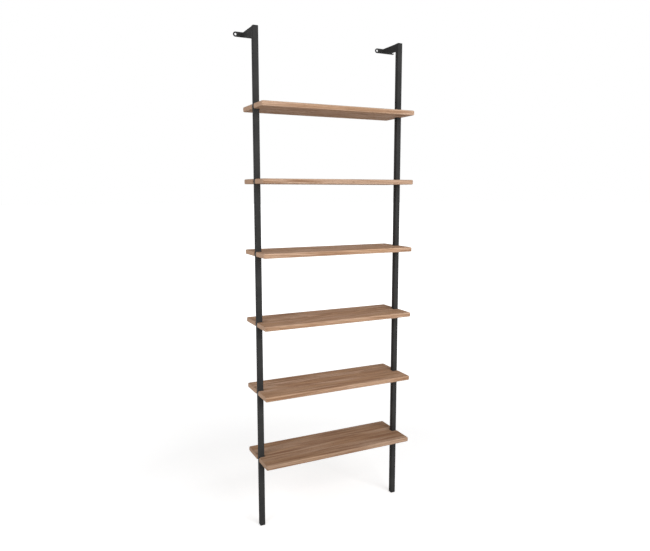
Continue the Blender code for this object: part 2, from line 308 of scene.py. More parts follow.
def noise(tree, place, stretch, detail=2.0, output=0):
    """Smooth noise with so many bumps in a metre along x, y and z; output 1 is a noise in three channels."""
    scaled = calculate_vector(tree, 'MULTIPLY', place, stretch)
    inputs = {"Vector": scaled, "Scale": 1.0, "Detail": detail}
    return add_node(tree, "ShaderNodeTexNoise", inputs).outputs[output]


def spread(tree, value, lowest, highest, to_low=0.0, to_high=1.0):
    """Maps lowest..highest to to_low..to_high, and holds what lies outside at the ends."""
    inputs = {"Value": value, "From Min": lowest, "From Max": highest, "To Min": to_low, "To Max": to_high}
    return add_node(tree, "ShaderNodeMapRange", inputs).outputs[0]


def swing(tree, value, to_low=0.0, to_high=1.0):
    """Maps the range in which most of a noise lies to to_low..to_high."""
    return spread(tree, value, NOISE_LOW, NOISE_HIGH, to_low, to_high)


def blend_colours(tree, share, first, second):
    """Lays a second colour over a first one by a share."""
    return add_node(tree, "ShaderNodeMix", {0: share, 6: first, 7: second}, data_type='RGBA').outputs[2]


def roughen(tree, shader, height, depth, strength):
    """Lets a height pattern tilt the surface; depth is how deep its valleys are, in metres."""
    bump = add_node(tree, "ShaderNodeBump", {"Height": height, "Distance": depth, "Strength": strength})
    tree.links.new(bump.outputs[0], shader.inputs["Normal"])


print("most noise lies between", NOISE_LOW, "and", NOISE_HIGH)

# %% [markdown]
# ## Year rings
# A board shows year rings: long flames on its face, close lines on its edge and arcs on its ends. A flat
# picture of grain can't give all three, so the wood is solid. Each board lies somewhere in a log, and the
# distance from the log's heart counts the years. Slow noise bends the log and makes some years wide and
# others narrow, so every face shows the cut that it really makes.

# %% Count the years in a log
RING_WIDTH = 0.0050
UNEVEN_YEARS = 2.2
SWAY = 0.024
BEND_STRETCH = (1.6, 8, 8)
YEARS_STRETCH = (42, 42, 42)
DARKENING = (0.2, 0.9)
PALING = (1.0, 0.93)


def bend_log(tree, log):
    """The place in a log that isn't straight: noise about 0 pushes it sideways, up to half the sway."""
    bend = calculate_vector(tree, 'SUBTRACT', noise(tree, log, BEND_STRETCH, 1.0, output=1), (0.5, 0.5, 0.5))
    return calculate_vector(tree, 'ADD', log, calculate_vector(tree, 'MULTIPLY', bend, (0, SWAY, SWAY)))


def late_wood_share(tree, bent):
    """0 in early wood and 1 in late wood.

    Year number = distance from the log's axis over the ring width, plus a noise of that distance. Its
    fraction runs through one year: the wood darkens slowly, and turns pale at once just before the next.
    """
    radius = calculate_vector(tree, 'LENGTH', calculate_vector(tree, 'MULTIPLY', bent, (0, 1, 1)))
    uneven = calculate(tree, 'MULTIPLY', noise(tree, radius, YEARS_STRETCH, 1.0), UNEVEN_YEARS)
    years = calculate(tree, 'ADD', calculate(tree, 'DIVIDE', radius, RING_WIDTH), uneven)
    ring = calculate(tree, 'FRACT', years)
    return calculate(tree, 'MULTIPLY', spread(tree, ring, *DARKENING), spread(tree, ring, *PALING))


print("years in a board's thickness:", round(board_size[2] / RING_WIDTH, 1))

# %% [markdown]
# ## Oiled wood
# Oil makes the colour deep and leaves hardly any gloss. Over the years lie clouds, streaks, fibres and pores,
# all of them noise drawn out along the board. The ends are paler, partly as sanded end grain and partly as
# painted light, and there the pores show as dots. The eased edges are paler too, partly from rubbing and
# sanding and partly as a painted highlight. Each board's tone is partly its own and partly painted light and
# shade, darkest at the bottom shelf. Varnish would need a clear coat over all this, and oil doesn't.

# %% Wood finish
WOOD_PALE = (0.69, 0.475, 0.34, 1.0)
WOOD_HONEY = (0.56, 0.345, 0.21, 1.0)
WOOD_DARK = (0.33, 0.185, 0.11, 1.0)
WOOD_STREAK = (0.34, 0.185, 0.107, 1.0)
WOOD_PORE = (0.15, 0.08, 0.045, 1.0)
# paler eased edges: partly rubbed wear and partly a painted highlight
WOOD_WEAR_AND_HIGHLIGHT = (0.68, 0.48, 0.345, 1.0)
# the end colour is paler partly as sanded end grain and partly as painted light on the ends
WOOD_END_SANDED_AND_LIT = (0.76, 0.51, 0.36, 1.0)
CLOUD_STRETCH = (2.2, 24, 24)
STREAK_STRETCH = (4.5, 80, 80)
FIBRE_STRETCH = (7, 620, 620)
PORE_STRETCH = (38, 1300, 1300)
CLOUD_RANGE = (0.40, 0.60)
STREAK_RANGE = (0.46, 0.64)
FIBRE_RANGE = (0.45, 0.75)
PORE_RANGE = (0.64, 0.72)
END_GRAIN_RANGE = (0.55, 0.95)
LATE_WOOD_STRENGTH = 0.6
STREAK_STRENGTH = 0.9
FIBRE_STRENGTH = 0.4
PORE_STRENGTH = 0.7
END_RING_STRENGTH = 0.5
END_PORE_STRENGTH = 0.45
WEAR_AND_HIGHLIGHT_STRENGTH = 0.45
WOOD_ROUGHNESS = (0.58, 0.76)
WOOD_RELIEF = 0.00008


def wood_finish(name, log_place, log_turn, tone):
    """Oiled wood for one board, cut from its own place in a log.

    Pale wood is laid over with darker layers, each by its pattern times its strength. Where the surface faces
    along the board the end's own paler layers show, partly painted light, and at last the tone, partly
    painted light and shade for the shelf, multiplies the whole colour.
    """
    finish, tree, shader = new_finish(name)
    mapping = {"Vector": place_on_piece(tree), "Location": log_place, "Rotation": log_turn}
    bent = bend_log(tree, add_node(tree, "ShaderNodeMapping", mapping).outputs[0])
    late_wood = late_wood_share(tree, bent)
    clouds = noise(tree, bent, CLOUD_STRETCH, 2.0)
    streaks = noise(tree, bent, STREAK_STRETCH, 3.0)
    fibres = noise(tree, bent, FIBRE_STRETCH, 2.0)
    pores = spread(tree, noise(tree, bent, PORE_STRETCH, 1.0), *PORE_RANGE)
    dark_years = calculate(tree, 'MULTIPLY', late_wood, LATE_WOOD_STRENGTH)
    dark_streaks = spread(tree, streaks, *STREAK_RANGE, 0.0, STREAK_STRENGTH)
    dark_fibres = spread(tree, fibres, *FIBRE_RANGE, 0.0, FIBRE_STRENGTH)
    dark_pores = calculate(tree, 'MULTIPLY', pores, PORE_STRENGTH)
    colour = blend_colours(tree, spread(tree, clouds, *CLOUD_RANGE), WOOD_PALE, WOOD_HONEY)
    colour = blend_colours(tree, dark_years, colour, WOOD_DARK)
    colour = blend_colours(tree, dark_streaks, colour, WOOD_STREAK)
    colour = blend_colours(tree, dark_fibres, colour, WOOD_DARK)
    colour = blend_colours(tree, dark_pores, colour, WOOD_PORE)
    end_rings = calculate(tree, 'MULTIPLY', late_wood, END_RING_STRENGTH)
    end_pores = calculate(tree, 'MULTIPLY', pores, END_PORE_STRENGTH)
    # painted light: the ends' pale colour stands partly for light falling on the ends
    end_colour = blend_colours(tree, end_rings, WOOD_END_SANDED_AND_LIT, WOOD_STREAK)
    end_colour = blend_colours(tree, end_pores, end_colour, WOOD_PORE)
    facing = add_node(tree, "ShaderNodeTexCoord", {}).outputs["Normal"]
    along_board = calculate(tree, 'ABSOLUTE', add_node(tree, "ShaderNodeSeparateXYZ", {0: facing}).outputs[0])
    end_grain = spread(tree, along_board, *END_GRAIN_RANGE)
    colour = blend_colours(tree, end_grain, colour, end_colour)
    # painted highlight along the eased edges, together with some real wear
    edge_wear_and_highlight = add_node(tree, "ShaderNodeAttribute", {}, attribute_name="edge_wear_and_highlight").outputs["Fac"]
    colour = blend_colours(tree, calculate(tree, 'MULTIPLY', edge_wear_and_highlight, WEAR_AND_HIGHLIGHT_STRENGTH), colour, WOOD_WEAR_AND_HIGHLIGHT)
    # painted light: the tone is partly the board's own and partly painted light and shade for its shelf
    toned = calculate_vector(tree, 'MULTIPLY', colour, (tone, tone, tone))
    tree.links.new(toned, shader.inputs["Base Color"])
    dry = calculate(tree, 'MAXIMUM', end_grain, swing(tree, fibres, 0.0, 0.5))
    tree.links.new(spread(tree, dry, 0.0, 1.0, *WOOD_ROUGHNESS), shader.inputs["Roughness"])
    shader.inputs["Specular IOR Level"].default_value = 0.02
    relief = calculate(tree, 'SUBTRACT', calculate(tree, 'MULTIPLY', fibres, FIBRE_STRENGTH), pores)
    roughen(tree, shader, relief, WOOD_RELIEF, strength=0.5)
    return finish


print("fibres across a board's depth:", round(board_size[1] * FIBRE_STRETCH[1]))

# %% [markdown]
# ## Black steel, plastic and screws
# The posts and brackets are powder coated: a matte black skin with a fine orange-peel surface. The plugs are
# moulded plastic with a finer, even grain. The screws are oiled black steel and the inserts are zinc plated,
# the only pieces here with a metal shine. A plain black would look like a hole in the picture, so each finish
# has its own relief and a roughness that varies a little.

# %% Steel and plastic finishes
COAT_COLOURS = (0.042, 0.042, 0.042, 1.0), (0.053, 0.053, 0.052, 1.0)
COAT_CLOUDS = (22, 22, 22)
COAT_PEEL = (850, 850, 850)
COAT_PEEL_DEPTH = 0.00006
COAT_ROUGHNESS = (0.55, 0.68)
PLASTIC_COLOURS = (0.016, 0.016, 0.017, 1.0), (0.026, 0.026, 0.027, 1.0)
PLASTIC_GRAIN = (1900, 1900, 1900)
PLASTIC_GRAIN_DEPTH = 0.00004
PLASTIC_ROUGHNESS = (0.48, 0.6)
OXIDE_COLOURS = (0.022, 0.022, 0.024, 1.0), (0.05, 0.05, 0.052, 1.0)
OXIDE_ROUGHNESS = (0.34, 0.5)
ZINC_COLOURS = (0.52, 0.53, 0.53, 1.0), (0.68, 0.68, 0.66, 1.0)
ZINC_ROUGHNESS = (0.26, 0.42)
METAL_STAIN = (420, 420, 420)
METAL_GRAIN = (2600, 2600, 2600)
METAL_GRAIN_DEPTH = 0.00002


def coat_finish():
    """Matte powder coat: noise of about a millimetre as orange peel, and slower noise in tone."""
    finish, tree, shader = new_finish("black_powder_coat")
    place = place_on_piece(tree)
    cloud = noise(tree, place, COAT_CLOUDS, 2.0)
    tree.links.new(blend_colours(tree, swing(tree, cloud), *COAT_COLOURS), shader.inputs["Base Color"])
    peel = noise(tree, place, COAT_PEEL, 2.0)
    tree.links.new(swing(tree, peel, *COAT_ROUGHNESS), shader.inputs["Roughness"])
    shader.inputs["Specular IOR Level"].default_value = 0.03
    roughen(tree, shader, peel, COAT_PEEL_DEPTH, strength=0.35)
    return finish


def plastic_finish():
    """Moulded plastic: an even spark-eroded grain of about half a millimetre."""
    finish, tree, shader = new_finish("black_moulded_plastic")
    grain = noise(tree, place_on_piece(tree), PLASTIC_GRAIN, 1.0)
    tree.links.new(blend_colours(tree, swing(tree, grain), *PLASTIC_COLOURS), shader.inputs["Base Color"])
    tree.links.new(swing(tree, grain, *PLASTIC_ROUGHNESS), shader.inputs["Roughness"])
    shader.inputs["Specular IOR Level"].default_value = 0.15
    roughen(tree, shader, grain, PLASTIC_GRAIN_DEPTH, strength=0.5)
    return finish


def metal_finish(name, colours, roughness):
    """Bare or oiled metal: fine noise moves its tone and its roughness between two ends."""
    finish, tree, shader = new_finish(name)
    place = place_on_piece(tree)
    stain = noise(tree, place, METAL_STAIN, 3.0)
    tree.links.new(blend_colours(tree, swing(tree, stain), *colours), shader.inputs["Base Color"])
    tree.links.new(swing(tree, stain, *roughness), shader.inputs["Roughness"])
    shader.inputs["Metallic"].default_value = 1.0
    roughen(tree, shader, noise(tree, place, METAL_GRAIN, 1.0), METAL_GRAIN_DEPTH, strength=0.3)
    return finish


black_coat = coat_finish()
black_plastic = plastic_finish()
black_oxide = metal_finish("black_oxide", OXIDE_COLOURS, OXIDE_ROUGHNESS)
zinc = metal_finish("zinc_plate", ZINC_COLOURS, ZINC_ROUGHNESS)
print("finishes:", [finish.name for finish in (black_coat, black_plastic, black_oxide, zinc)])

# %% [markdown]
# ## A board's outline
# A shelf is a board 18 mm thick with rounded corners and eased edges, and a notch in the middle of each end
# where the post stands. A notch sawn out of an eased slab would have knife edges at its mouth, so the notch
# belongs to the outline, and the easing runs through it. How much an edge is paled, partly for wear and
# partly as a painted highlight, is stored on the points, for the finish to read.

# %% Draw a board and mark its edges' wear and painted highlight
BOARD_CORNER = 0.006
BOARD_EDGE = 0.0045
MOUTH_CORNER = 0.006
NOTCH_CORNER = 0.0005
CORNER_STEPS = 10
NOTCH_STEPS = 3
EASING_STEPS = 6


def board_outline(low, high, notch_low, notch_high):
    """The right half as six arcs: a corner, the mouth and the floor of the notch, the mouth and a corner.

    The left half is its mirror image, taken in reverse.
    """
    right, mouth = high[0] - BOARD_CORNER, high[0] - MOUTH_CORNER
    floor, front, back = notch_low[0] + NOTCH_CORNER, notch_low[1], notch_high[1]
    half = np.concatenate([arc((right, low[1] + BOARD_CORNER), BOARD_CORNER, -90, 0, CORNER_STEPS),
                           arc((mouth, front - MOUTH_CORNER), MOUTH_CORNER, 0, 90, CORNER_STEPS),
                           arc((floor, front + NOTCH_CORNER), NOTCH_CORNER, 270, 180, NOTCH_STEPS),
                           arc((floor, back - NOTCH_CORNER), NOTCH_CORNER, 180, 90, NOTCH_STEPS),
                           arc((mouth, back + MOUTH_CORNER), MOUTH_CORNER, -90, 0, CORNER_STEPS),
                           arc((right, high[1] - BOARD_CORNER), BOARD_CORNER, 0, 90, CORNER_STEPS)])
    return np.concatenate([half, half[::-1] * (-1, 1)])


def mark_edge_wear_and_highlight(mesh, low, high):
    """Stores each point's edge wear and painted highlight: 4 d (1 - d), with d the depth below the nearer
    face over the edge's radius. So it is 1 half way round the easing, and 0 on the flats."""
    place = np.empty(len(mesh.vertices) * 3)
    mesh.vertices.foreach_get("co", place)
    height = place.reshape(-1, 3)[:, 2]
    depth = np.clip(np.minimum(height - low[2], high[2] - height) / BOARD_EDGE, 0, 1)
    edge_wear_and_highlight = mesh.attributes.new("edge_wear_and_highlight", 'FLOAT', 'POINT')
    edge_wear_and_highlight.data.foreach_set("value", (4 * depth * (1 - depth)).astype(np.float32))


post_low, post_high = box["right_post"]
outline = board_outline(*box["shelf_1"], post_low - CLEARANCE, post_high + CLEARANCE)
print("a board's outline has", len(outline), "points")

# %% [markdown]
# ## Shelves
# The six boards are alike, so one loop makes them. Only the bores for the threaded inserts are drilled
# afterwards, from the notch into the board. Each board gets its own place in a log and its own tone, which is
# partly its own and partly painted light and shade, darkest at the bottom shelf. Copies of one board would be
# quicker, but then all six would show the same grain, which no real shelf does.

# %% Make the shelves
BORE_STEPS = 24
LOG_SHIFT = 1.0
LOG_TURN = math.radians(3)
HEART_DEPTH = 0.095
HEART_SPREAD = 0.3
HEART_SHIFT = 0.03
# painted light and shade: each board's tone, from the bottom shelf up, is partly its own and partly painted
# light, darkest at the bottom and brightest at the fourth
BOARD_TONES_AND_PAINTED_LIGHT = (0.86, 1.02, 1.03, 1.08, 0.95, 0.97)
rng = np.random.default_rng(20)

for level, tone in zip(LEVELS, BOARD_TONES_AND_PAINTED_LIGHT):
    low, high = box[f"shelf_{level}"]
    profile = eased_profile(BOARD_EDGE, EASING_STEPS, low[2], high[2])
    board = skin(f"board_{level}", carried_rings(outline, profile))
    for side_name, side in SIDES.items():
        insert_low, insert_high = box[f"shelf_{level}_{side_name}_insert"]
        middle = (insert_low + insert_high) / 2
        half_length = (insert_high[0] - insert_low[0]) / 2
        bore_radius = (insert_high[1] - insert_low[1]) / 2 + CLEARANCE
        mouth = middle + (side * (half_length + tube_size[0] / 2), 0, 0)
        floor_of_bore = middle - (side * (half_length + CLEARANCE), 0, 0)
        board = cut(board, rod("bore", 0, mouth, floor_of_bore, bore_radius, BORE_STEPS))
    mark_edge_wear_and_highlight(board, low, high)
    along = rng.uniform(-LOG_SHIFT, LOG_SHIFT)
    across = rng.uniform(-HEART_SHIFT, HEART_SHIFT)
    depth = HEART_DEPTH * rng.uniform(1 - HEART_SPREAD, 1 + HEART_SPREAD)
    turn = (0, rng.uniform(-LOG_TURN, LOG_TURN), rng.uniform(-LOG_TURN, LOG_TURN))
    heart = (along, across, depth - (low[2] + high[2]) / 2)
    finish = wood_finish(f"oiled_wood_{level}", heart, turn, tone)
    show(f"board_{level}", board, finish, "wood", f"shelf_{level}")

# %% [markdown]
# ## Posts
# A post is 20 mm square steel tube with small rounded corners. A plain box would show knife edges, and a
# solid bar would be the wrong thing at its ends, so the skin goes up the outside, over the end and down the
# inside, and closes on itself. The shelf screws pass through both walls, so the holes are drilled as well.
# The tube has a ring just below and just above each hole, so that a drill meets short faces.

# %% Make the posts
TUBE_WALL = 0.0015
TUBE_CORNER = 0.0022
TUBE_STEPS = 8
SCREW_HOLE_RADIUS = 0.0033
SCREW_HOLE_STEPS = 24
HOLE_RIM = 0.002


def tube(name, low, high, hole_heights):
    """Square tube: the profile goes up at inset 0, in over the end, down at inset = wall, and closes."""
    reach = SCREW_HOLE_RADIUS + HOLE_RIM
    heights = sorted([low[2], high[2]] + [z + step for z in hole_heights for step in (-reach, reach)])
    outside = [(0, z) for z in heights]
    inside = [(TUBE_WALL, z) for z in reversed(heights)]
    corners = rounded_rectangle(low, high, TUBE_CORNER, TUBE_STEPS)
    return skin(name, carried_rings(corners, outside + inside), closed=True)


for side_name in SIDES:
    low, high = box[f"{side_name}_post"]
    holes = [sum(box[f"shelf_{level}_{side_name}_screw"]) / 2 for level in LEVELS]
    post = tube(f"{side_name}_tube", low, high, [hole[2] for hole in holes])
    reach = tube_size * (2, 0, 0)
    for hole in holes:
        post = cut(post, rod("drill", 0, hole - reach, hole + reach, SCREW_HOLE_RADIUS, SCREW_HOLE_STEPS))
    show(f"{side_name}_tube", post, black_coat, "coated_steel", f"{side_name}_post")

# %% [markdown]
# ## Feet and caps
# Plastic plugs close the tubes: a foot with a soft lower rim, and a thin cap on top. Each has a ribbed stem
# that grips the inside of the tube. Separate rings could be stacked for the ribs, but stem, ribs, head and
# rounding are one profile, carried round the tube's own outline, so a plug can only fit. A cap is the same
# profile upside down.

# %% Make the plugs
FOOT_ROUNDING = 0.0018
CAP_ROUNDING = 0.001
ROUNDING_STEPS = 6
PLUG_RIM = 0.0002
RIB_COUNT = 5
RIB_DEPTH = 0.0003


def plug(name, low, high, head_height, rounding, upside_down):
    """A plug from its rounded rim to the end of its stem: rim, head, step in to the stem, ribs and end.

    A rib is a tooth in the profile: it rises over a quarter of the ribs' pitch and falls over an eighth.
    """
    length = high[2] - low[2]
    crest = TUBE_WALL + CLEARANCE
    valley = crest + RIB_DEPTH
    pitch = (length - head_height) / (RIB_COUNT + 1)
    ribs = np.linspace(head_height, length, RIB_COUNT + 2)[1:-1]
    teeth = [point for z in ribs for point in ((valley, z - pitch / 4), (crest, z), (valley, z + pitch / 8))]
    inset, drop = quarter_round(rounding, ROUNDING_STEPS)
    rim = [(rounding + PLUG_RIM, 0)] + list(zip(inset[::-1], drop[::-1]))
    shoulder = [(0, head_height), (valley, head_height)]
    profile = np.array(rim + shoulder + teeth + [(valley, length)])
    if upside_down:
        profile = np.stack([profile[:, 0], high[2] - profile[:, 1]], axis=1)[::-1]
    else:
        profile[:, 1] += low[2]
    return skin(name, carried_rings(rounded_rectangle(low, high, TUBE_CORNER, TUBE_STEPS), profile))


for side_name in SIDES:
    post_low, post_high = box[f"{side_name}_post"]
    foot_low, foot_high = box[f"{side_name}_foot"]
    foot_height = post_low[2] - CLEARANCE - foot_low[2]
    foot = plug(f"{side_name}_foot_plug", foot_low, foot_high, foot_height, FOOT_ROUNDING, False)
    show(f"{side_name}_foot_plug", foot, black_plastic, "black_plastic", f"{side_name}_foot")
    cap_low, cap_high = box[f"{side_name}_post_cap"]
    cap_height = cap_high[2] - post_high[2] - CLEARANCE
    cap = plug(f"{side_name}_cap_plug", cap_low, cap_high, cap_height, CAP_ROUNDING, True)
    show(f"{side_name}_cap_plug", cap, black_plastic, "black_plastic", f"{side_name}_post_cap")

# %% [markdown]
# ## Threads and hexagons
# Turning a profile on a lathe gives round things, but a hexagon and a thread aren't round. So the radius is a
# function of height and angle: a circle, a hexagon, or a thread, where it swings once for every pitch and
# every turn. Screws are drawn standing, with the underside of the head at zero, and then laid into the board.

# %% Work out round rings, threads and hexagons
SCREW_STEPS = 48
THREAD_PITCH = 0.001
THREAD_DEPTH = 0.0005
RINGS_PER_PITCH = 4
screw_angle = np.linspace(0, 2 * math.pi, SCREW_STEPS, endpoint=False)


def thread_hump(heights, pitch):
    """1 on a thread's crest, 0 in its valley: 1 - |2 f - 1|, f the fraction of z / pitch + angle / turn."""
    turn = (np.array(heights)[:, None] / pitch + screw_angle / (2 * math.pi)) % 1
    return 1 - np.abs(2 * turn - 1)


def hexagon_ring(apothem):
    """The radii of a hexagon: apothem / cos(angle from the middle of the nearest flat)."""
    return apothem / np.cos((screw_angle + math.pi / 6) % (math.pi / 3) - math.pi / 6)


def rings_at(radii, heights):
    """Rings (r cos a, r sin a, z) from an array of radii (ring, angle) and the rings' heights."""
    tall = np.broadcast_to(np.array(heights)[:, None], radii.shape)
    return np.stack([radii * np.cos(screw_angle), radii * np.sin(screw_angle), tall], axis=2)


def lay_down(rings, side, seat):
    """Turns standing rings (x, y, z) to lie along x, pointing into the board, with z = 0 at the seat:
    seat + (side z, y, -side x)."""
    return np.stack([side * rings[..., 2], rings[..., 1], -side * rings[..., 0]], axis=2) + seat


print("a hexagon's corners lie", round(hexagon_ring(1).max(), 3), "times as far out as its flats")

# %% [markdown]
# ## Screws
# One screw goes through each post into a threaded insert in the board's end. Its head is a low button with a
# hexagon socket, and only its grip is threaded. A thread could be a twisted curve joined to a rod, but as one
# skin it has no seam.

# %% Make the screws
SHANK_RADIUS = 0.003
HEAD_HEIGHT = 0.0016
HEAD_EDGE = 0.0008
HEAD_STEPS = 5
SOCKET_APOTHEM = 0.002
SOCKET_DEPTH = 0.0012
SOCKET_CHAMFER = 0.0002
SOCKET_FLAT = 1.22
SOCKET_MOUTH = 1.10
SOCKET_FLOOR = 0.9
GRIP_LENGTH = 0.011
POINT_LENGTH = 0.0008


def screw_rings(length, head_radius):
    """Rings of a screw that points down, its head's underside at z = 0: point, thread, shank and head.

    A station is a ring's radii and its height. Round the socket the hexagon is scaled: wider on the head's
    flat and at the mouth, and narrower on the floor.
    """
    hexagon = hexagon_ring(SOCKET_APOTHEM)
    circle = np.ones(SCREW_STEPS)
    core, shank = (SHANK_RADIUS - THREAD_DEPTH) * circle, SHANK_RADIUS * circle
    grip = np.arange(POINT_LENGTH, GRIP_LENGTH, THREAD_PITCH / RINGS_PER_PITCH) - length
    thread = SHANK_RADIUS - THREAD_DEPTH * (1 - thread_hump(grip, THREAD_PITCH))
    grip_end = GRIP_LENGTH - length
    socket_floor = HEAD_HEIGHT - SOCKET_DEPTH
    stations = [(core - POINT_LENGTH / 2, -length), *zip(thread, grip), (core, grip_end),
                (shank, grip_end + THREAD_DEPTH), (shank, 0), (head_radius * circle, 0)]
    stations += [((head_radius - inset) * circle, HEAD_HEIGHT - drop)
                 for inset, drop in zip(*quarter_round(HEAD_EDGE, HEAD_STEPS))]
    stations += [(hexagon * SOCKET_FLAT, HEAD_HEIGHT), (hexagon * SOCKET_MOUTH, HEAD_HEIGHT),
                 (hexagon, HEAD_HEIGHT - SOCKET_CHAMFER), (hexagon, socket_floor),
                 (hexagon * SOCKET_FLOOR, socket_floor)]
    radii, heights = zip(*stations)
    return rings_at(np.array(radii), heights)


seats = {}
for side_name, side in SIDES.items():
    for level in LEVELS:
        node = f"shelf_{level}_{side_name}_screw"
        low, high = box[node]
        seat = (low + high) / 2
        seat[0] = (high if side > 0 else low)[0] - side * HEAD_HEIGHT
        seats[side_name, level] = seat
        rings = screw_rings(high[0] - low[0] - HEAD_HEIGHT, (high[1] - low[1]) / 2)
        screw = skin(f"{side_name}_screw_{level}", lay_down(rings, side, seat))
        show(f"{side_name}_screw_{level}", screw, black_oxide, "black_screw_steel", node)

# %% [markdown]
# ## Inserts
# The inserts are hidden in the boards, but they are what the screws bite, and the part may be taken apart. An
# insert has a coarse thread outside for the wood, the screw's own thread inside with a little room, and a
# hexagon at its mouth for the key that drives it in. A plain sleeve would do for the eye. Here the threads
# cost little more, because the screws already have the formula. An insert uses its screw's frame, so the two
# threads mesh.

# %% Make the inserts
WOOD_THREAD_PITCH = 0.0025
WOOD_THREAD_DEPTH = 0.0008
WOOD_THREAD_RINGS = 33
THREAD_ROOM = 0.00015
KEY_APOTHEM = 0.00315
KEY_DEPTH = 0.003


def insert_rings(mouth, length, radius):
    """Rings of an insert, up the outside, over its mouth and down the inside.

    Outside the radius is core + depth * hump, and the hump runs out over half a pitch at both ends. Inside it
    is a hexagon down to the key's depth, and below that the screw's thread with room added.
    """
    end = mouth - length
    outside = np.linspace(end, mouth, WOOD_THREAD_RINGS)
    run_out = np.clip(np.minimum(outside - end, mouth - outside) / (WOOD_THREAD_PITCH / 2), 0, 1)[:, None]
    coarse = radius - WOOD_THREAD_DEPTH * (1 - run_out * thread_hump(outside, WOOD_THREAD_PITCH))
    hexagon = hexagon_ring(KEY_APOTHEM)
    steps = round((length - KEY_DEPTH) / THREAD_PITCH * RINGS_PER_PITCH) + 1
    inside = np.linspace(mouth - KEY_DEPTH, end, steps)
    fine = SHANK_RADIUS + THREAD_ROOM - THREAD_DEPTH * (1 - thread_hump(inside, THREAD_PITCH))
    radii = np.concatenate([coarse, [hexagon, hexagon], fine])
    return rings_at(radii, np.concatenate([outside, [mouth, mouth - KEY_DEPTH], inside]))


for side_name, side in SIDES.items():
    for level in LEVELS:
        node = f"shelf_{level}_{side_name}_insert"
        low, high = box[node]
        seat = seats[side_name, level]
        mouth = side * ((high if side > 0 else low)[0] - seat[0])
        rings = insert_rings(mouth, high[0] - low[0], (high[1] - low[1]) / 2)
        insert = skin(f"{side_name}_insert_{level}", lay_down(rings, side, seat), closed=True)
        show(f"{side_name}_insert_{level}", insert, zinc, "zinc_steel", node)

# %% [markdown]
# ## Wall strips
# A bracket is two flat bars: a strip on the wall with a hole at its left and an open slot at its right, and
# an arm that is welded on edge between the strip and the back of the post. A stretched cube with a Bevel
# modifier would do for a plain bar, but an outline with a thickness gives the slot and the bend as well. The
# strip's outline is four arcs: a round left end about the hole, and round lips and a round floor at the slot.
# The lips have few steps, because a short side next to a sharp tip would fold over when the rim moves in.

# %% Make the wall strips
PLATE_EDGE = 0.0004
PLATE_STEPS = 3
WALL_HOLE_RADIUS = 0.00425
WALL_HOLE_STEPS = 32
END_STEPS = 24
SLOT_STEPS = 16
LIP_STEPS = 5


def flat_bar(name, outline, thickness, axes, corner):
    """A bar from an outline (u, v): its rings, carried across the thickness, are laid along three axes."""
    profile = eased_profile(PLATE_EDGE, PLATE_STEPS, -thickness / 2, thickness / 2)
    return skin(name, carried_rings(outline, profile) @ np.array(axes, float) + corner)


def strip_outline(length, height):
    """Round end, slot with round floor, and two lips that end where the slot's sides meet the round end."""
    end, radius = length / 2, height / 2
    slot = (end - math.sqrt(radius ** 2 - WALL_HOLE_RADIUS ** 2), 0)
    lip = math.degrees(math.asin(WALL_HOLE_RADIUS / radius))
    return np.concatenate([arc((radius - end, 0), radius, 90, 270, END_STEPS),
                           arc(slot, radius, -90, -lip, LIP_STEPS),
                           arc(slot, WALL_HOLE_RADIUS, 270, 90, SLOT_STEPS),
                           arc(slot, radius, lip, 90, LIP_STEPS)])


for side_name in SIDES:
    low, high = box[f"{side_name}_wall_strip"]
    length, thickness, height = high - low
    middle = (low + high) / 2
    flat_on_wall = [(1, 0, 0), (0, 0, 1), (0, -1, 0)]
    strip = flat_bar("strip", strip_outline(length, height), thickness, flat_on_wall, middle)
    hole = middle - ((length - height) / 2, 0, 0)
    reach = (0, thickness, 0)
    strip = cut(strip, rod("drill", 1, hole - reach, hole + reach, WALL_HOLE_RADIUS, WALL_HOLE_STEPS))
    show(f"{side_name}_strip", strip, black_coat, "coated_steel", f"{side_name}_wall_strip")

# %% [markdown]
# ## Bracket arms
# The arm stands on edge. Behind the post its lower side runs level for a while, and then it rises to the
# strip's height in one easy bend. It could be drawn with a straight corner there, but flat steel is cut with
# a round one.

# %% Draw an arm
ARM_LEVEL_LENGTH = 0.028
ARM_BEND_RADIUS = 0.060
ARM_BEND_STEPS = 6


def arm_outline(length, height, end_height):
    """The arm from its side (u to the wall, v up, top at 0): level, then a bend, then straight to the end."""
    rise = math.atan2(height - end_height, length - ARM_LEVEL_LENGTH)
    tangent = ARM_BEND_RADIUS * math.tan(rise / 2)
    centre = (ARM_LEVEL_LENGTH - tangent, ARM_BEND_RADIUS - height)
    bend = arc(centre, ARM_BEND_RADIUS, -90, -90 + math.degrees(rise), ARM_BEND_STEPS)
    return np.concatenate([[(0, 0), (0, -height)], bend, [(length, -end_height), (length, 0)]])


arm_low, arm_high = box["left_bracket_arm"]
strip_low, strip_high = box["left_wall_strip"]
outline = arm_outline(arm_high[1] - arm_low[1], arm_high[2] - arm_low[2], strip_high[2] - strip_low[2])
print("an arm's outline has", len(outline), "points")

# %% [markdown]
# ## Welds
# Where the bars meet, a weld fills the corner. A weld is a row of overlapping scales, as the pool of metal
# freezes step by step. Bump in the finish could fake them, but their outline shows against the wall, so the
# bead's size swings along the seam, and each scale bulges forwards in its middle.

# %% Shape a weld
WELD_LEG = 0.0024
WELD_SCALE = 0.0022
WELD_POINTS = 9
RINGS_PER_SCALE = 6
SCALE_DEPTH = 0.14
SCALE_BULGE = 0.45
THINNEST_END = 0.25


